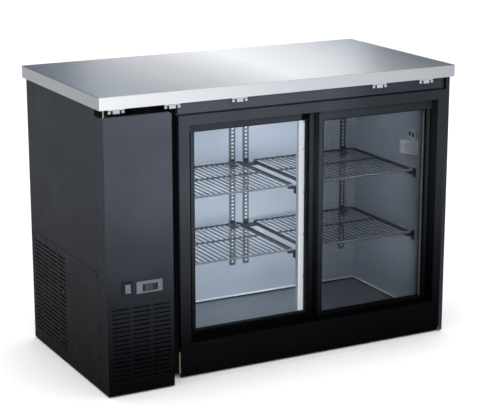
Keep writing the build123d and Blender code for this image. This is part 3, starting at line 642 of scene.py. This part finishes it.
def worktop_brackets():
    """Pressed clips under the worktop's front lip: a raised tab between two folded ears, with a screw."""
    low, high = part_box("worktop_clips")
    width = 0.052
    drop = 0.015
    bm = bmesh.new()
    screws = bmesh.new()
    for centre in clip_centres:
        top, bottom = high[2], high[2] - drop
        y = low[1]
        add_box(bm, (centre - 0.011, y, bottom + 0.001), (centre + 0.011, y + 0.0015, top - 0.002))
        add_box(bm, (centre - width / 2, y + 0.0016, top - 0.0045), (centre + width / 2, y + 0.0035, top))
        for side in (-1, 1):
            ear = sorted((centre + side * 0.017, centre + side * width / 2))
            add_box(bm, (ear[0], y + 0.0008, bottom + 0.002), (ear[1], y + 0.0025, top - 0.0055))
        add_box(bm, (centre - 0.012, y + 0.004, top - 0.002), (centre + 0.012, high[1], top))
        add_dome(screws, (centre, y + 0.0002, (top + bottom) / 2), (0, -1, 0), 0.003, 0.0002)
    clips = piece("worktop_brackets", bm, clip_steel, "cabinet", bevel=0.0005)
    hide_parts("worktop_clips")
    piece("worktop_bracket_screws", screws, screw_steel, "cabinet")


def ring(bm, centre, axis, radius, thickness, sides=40):
    """A round wire hoop about the X or Y axis."""
    points = []
    for k in range(sides):
        angle = 2 * math.pi * k / sides
        a, b = radius * math.cos(angle), radius * math.sin(angle)
        offset = (0, a, b) if axis == "X" else (a, 0, b)
        points.append(tuple(c + o for c, o in zip(centre, offset)))
    add_tube(bm, points, thickness, 6, closed=True)


def fan_guards():
    """Wire rings on four arms over each fan; the condenser guard stands on short legs."""
    for name, node, axis, radii in (
        ("evaporator_guard", "evaporator_fan", "X", (0.012, 0.020, 0.028, 0.036, 0.044, 0.052)),
        ("condenser_guard", "condenser_fan", "Y", (0.033, 0.040, 0.047, 0.054, 0.060)),
    ):
        low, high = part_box(node)
        centre = [(a + b) / 2 for a, b in zip(low, high)]
        if axis == "X":
            centre[0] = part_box("evaporator_cover")[1][0] + 0.0012
        else:
            centre[1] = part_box("condenser_fan_shroud")[1][1] + 0.0015
        bm = bmesh.new()
        for radius in radii:
            ring(bm, centre, axis, radius, 0.001)
        for k in range(4):
            angle = math.pi / 8 + k * math.pi / 2
            ends = []
            for reach in (radii[0], radii[-1] + 0.006):
                a, b = reach * math.cos(angle), reach * math.sin(angle)
                offset = (0.0015, a, b) if axis == "X" else (a, 0.0015, b)
                ends.append(tuple(c + o for c, o in zip(centre, offset)))
            add_tube(bm, ends, 0.0012, 6)
            if axis == "Y":
                x = centre[0] + radii[-1] * math.cos(angle)
                y = centre[1]
                z = centre[2] + radii[-1] * math.sin(angle)
                add_tube(bm, [(x, y - 0.007, z), (x, y + 0.0015, z)], 0.0012, 6)
        piece(name, bm, looks["zinc_steel"], "cabinet")


def fin_packs():
    """Close thin fins on the tubes of both coils."""
    sheet = 0.0004
    tube = 0.005
    for node, stack, count in (("condenser_coil", 0, 72), ("evaporator_coil", 2, 56)):
        low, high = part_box(node)
        bm = bmesh.new()
        step = (high[stack] - low[stack] - sheet) / (count - 1)
        for i in range(count):
            a, b = list(low), list(high)
            a[stack] = low[stack] + i * step
            b[stack] = a[stack] + sheet
            inset = 0.004 if 0 < i < count - 1 else 0.0
            across = 1 if stack == 0 else 0
            a[across] += inset
            b[across] -= inset
            add_box(bm, a, b)
        fins = piece(f"{node}_fins", bm, looks["fin_aluminium"], "cabinet", bevel=0.0001)
        tubes = bmesh.new()
        if stack == 0:
            middle = (low[1] + high[1]) / 2
            for k in range(5):
                z = low[2] + (high[2] - low[2]) * (0.12 + 0.19 * k)
                add_tube(tubes, [(low[0], middle, z), (high[0], middle, z)], tube, 12)
        else:
            middle = (low[0] + high[0]) / 2
            for k in range(3):
                y = low[1] + (high[1] - low[1]) * (0.15 + 0.35 * k)
                add_tube(tubes, [(middle, y, low[2]), (middle, y, high[2])], tube, 12)
        piece(f"{node}_tubes", tubes, looks["copper"], "cabinet")
        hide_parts(node)


def rating_plates():
    """Plain plates with ruled lines on the back panel and above the rear louvres."""
    plate = bmesh.new()
    lines = bmesh.new()
    plates = (("back_panel", (0.10, 0.06), 6, 0.11), ("rear_grille", (0.06, 0.03), 3, 0.015))
    for name, size, rows, drop in plates:
        low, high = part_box(name)
        aside = 0.4 * (high[0] - low[0]) if name == "back_panel" else size[0] / 2
        right = (low[0] + high[0]) / 2 + aside
        left, top, face = right - size[0], high[2] - drop, high[1]
        add_box(plate, (left, face, top - size[1]), (right, face + 0.0006, top))
        for i in range(rows):
            z = top - 0.006 - i * 0.009
            end = right - 0.006 - 0.012 * (i % 3)
            add_box(lines, (left + 0.006, face + 0.0005, z - 0.002), (end, face + 0.0008, z))
    piece("rating_plates", plate, label_paper, "cabinet", bevel=0.0002)
    piece("rating_plate_lines", lines, label_ink, "cabinet", bevel=0.0001)


def rail_painted_shade_blocks():
    """Near-black blocks on the left door's top and bottom rails beside its inner stile: painted shade."""
    low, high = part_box("left_door_glass")
    door_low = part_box("left_door_stiles")[0]
    bm = bmesh.new()
    x = (high[0] - 0.030, high[0] - 0.0005)
    y = (door_low[1] - 0.0008, door_low[1] + 0.004)
    add_box(bm, (x[0], y[0], high[2] + 0.0005), (x[1], y[1], high[2] + 0.026))
    add_box(bm, (x[0], y[0], door_low[2] + 0.001), (x[1], y[1], low[2] - 0.0005))
    piece("left_door_end_blocks", bm, black_and_painted_shade, "left_door", bevel=0.0008)


def soft_edges():
    """A small radius on the folded and extruded edges, so that they catch the light."""
    plain = ["fascia", "right_panel", "left_upper_panel", "kick_plate", "centre_post"]
    for side in ("left", "right"):
        plain += [f"{side}_jamb", f"{side}_door_stiles", f"{side}_door_rails"]
    plain += ["top_track", "bottom_track"]
    for name in plain:
        modifier = nodes[name].modifiers.new("edges", "BEVEL")
        modifier.width = 0.0005
        modifier.segments = 2
        modifier.limit_method = "ANGLE"


shelves()
light_strip()
panel_screws()
wall_label()
display_digits()
floor_cove()
pilaster_slot_painted_light()
worktop_brackets()
rail_painted_shade_blocks()
door_edges()
fan_guards()
fin_packs()
rating_plates()
soft_edges()


# ---------------------------------------------------------------- studio
def stage_plane():
    """A level square that the object stands on."""
    mesh = bpy.data.meshes.new("stage_floor")
    size = 30.0
    corners = [(-size, -size, 0), (size, -size, 0), (size, size, 0), (-size, size, 0)]
    mesh.from_pydata(corners, [], [(0, 1, 2, 3)])
    floor = bpy.data.objects.new("stage_floor", mesh)
    bpy.context.collection.objects.link(floor)
    floor.location.z = -0.0005
    floor.data.materials.append(coated("stage_floor", (0.93, 0.93, 0.93), 0.7, specular=0.1, wear=0.01))


def softbox(name, location, target, size, power, color=(1, 1, 1)):
    """An area light aimed at a point."""
    light = bpy.data.lights.new(name, "AREA")
    light.shape = "RECTANGLE"
    light.size, light.size_y = size
    light.energy = power
    light.color = color
    lamp = bpy.data.objects.new(name, light)
    lamp.location = location
    lamp.rotation_euler = (Vector(target) - Vector(location)).to_track_quat("-Z", "Y").to_euler()
    bpy.context.collection.objects.link(lamp)


stage_plane()
sun = bpy.data.lights.new("overhead", "SUN")
sun.energy = 2.9
sun.angle = math.radians(60)
bpy.context.collection.objects.link(bpy.data.objects.new("overhead", sun))
softbox("key", (-1.2, -5.5, 2.8), (0, 0, 0.6), (2.6, 2.0), 120)
softbox("side", (-5.0, 0.2, 2.8), (0, 0, 0.7), (2.0, 2.0), 7)
softbox("sheen", (2.3, 4.6, 2.0), (0, 0, 0.9), (1.9, 1.6), 12)
softbox("left_bay", (-0.1, -0.12, 0.79), (-0.06, 0.2, 0.35), (0.3, 0.12), 1.15, (0.9, 0.95, 1))
softbox("left_middle", (-0.08, -0.14, 0.52), (-0.04, 0.22, 0.42), (0.36, 0.05), 0.5, (0.9, 0.95, 1))
softbox("left_low", (-0.08, -0.14, 0.30), (-0.06, 0.22, 0.16), (0.36, 0.05), 0.75, (0.9, 0.95, 1))
softbox("right_bay", (0.3, -0.13, 0.79), (0.36, 0.2, 0.3), (0.16, 0.08), 1.5, (0.95, 0.97, 1))
softbox("right_middle", (0.34, -0.14, 0.52), (0.36, 0.22, 0.4), (0.3, 0.05), 0.5, (0.95, 0.97, 1))
softbox("right_low", (0.34, -0.14, 0.24), (0.42, 0.22, 0.26), (0.3, 0.04), 0.7, (0.95, 0.97, 1))

world = bpy.data.worlds.new("studio")
world.use_nodes = True
world.node_tree.nodes["Background"].inputs["Color"].default_value = (0.93, 0.96, 1.0, 1)
world.node_tree.nodes["Background"].inputs["Strength"].default_value = 0.3
bpy.context.scene.world = world

camera_data = bpy.data.cameras.new("camera")
camera_data.lens = 113.39
camera_data.sensor_width = 36.0
camera = bpy.data.objects.new("camera", camera_data)
camera.location = (-2.300, -4.375, 1.736)
camera.rotation_euler = Euler((math.radians(90 - 14.75), 0, math.radians(-27.97)), "XYZ")
bpy.context.collection.objects.link(camera)
bpy.context.scene.camera = camera
bpy.context.scene.view_settings.view_transform = "Standard"
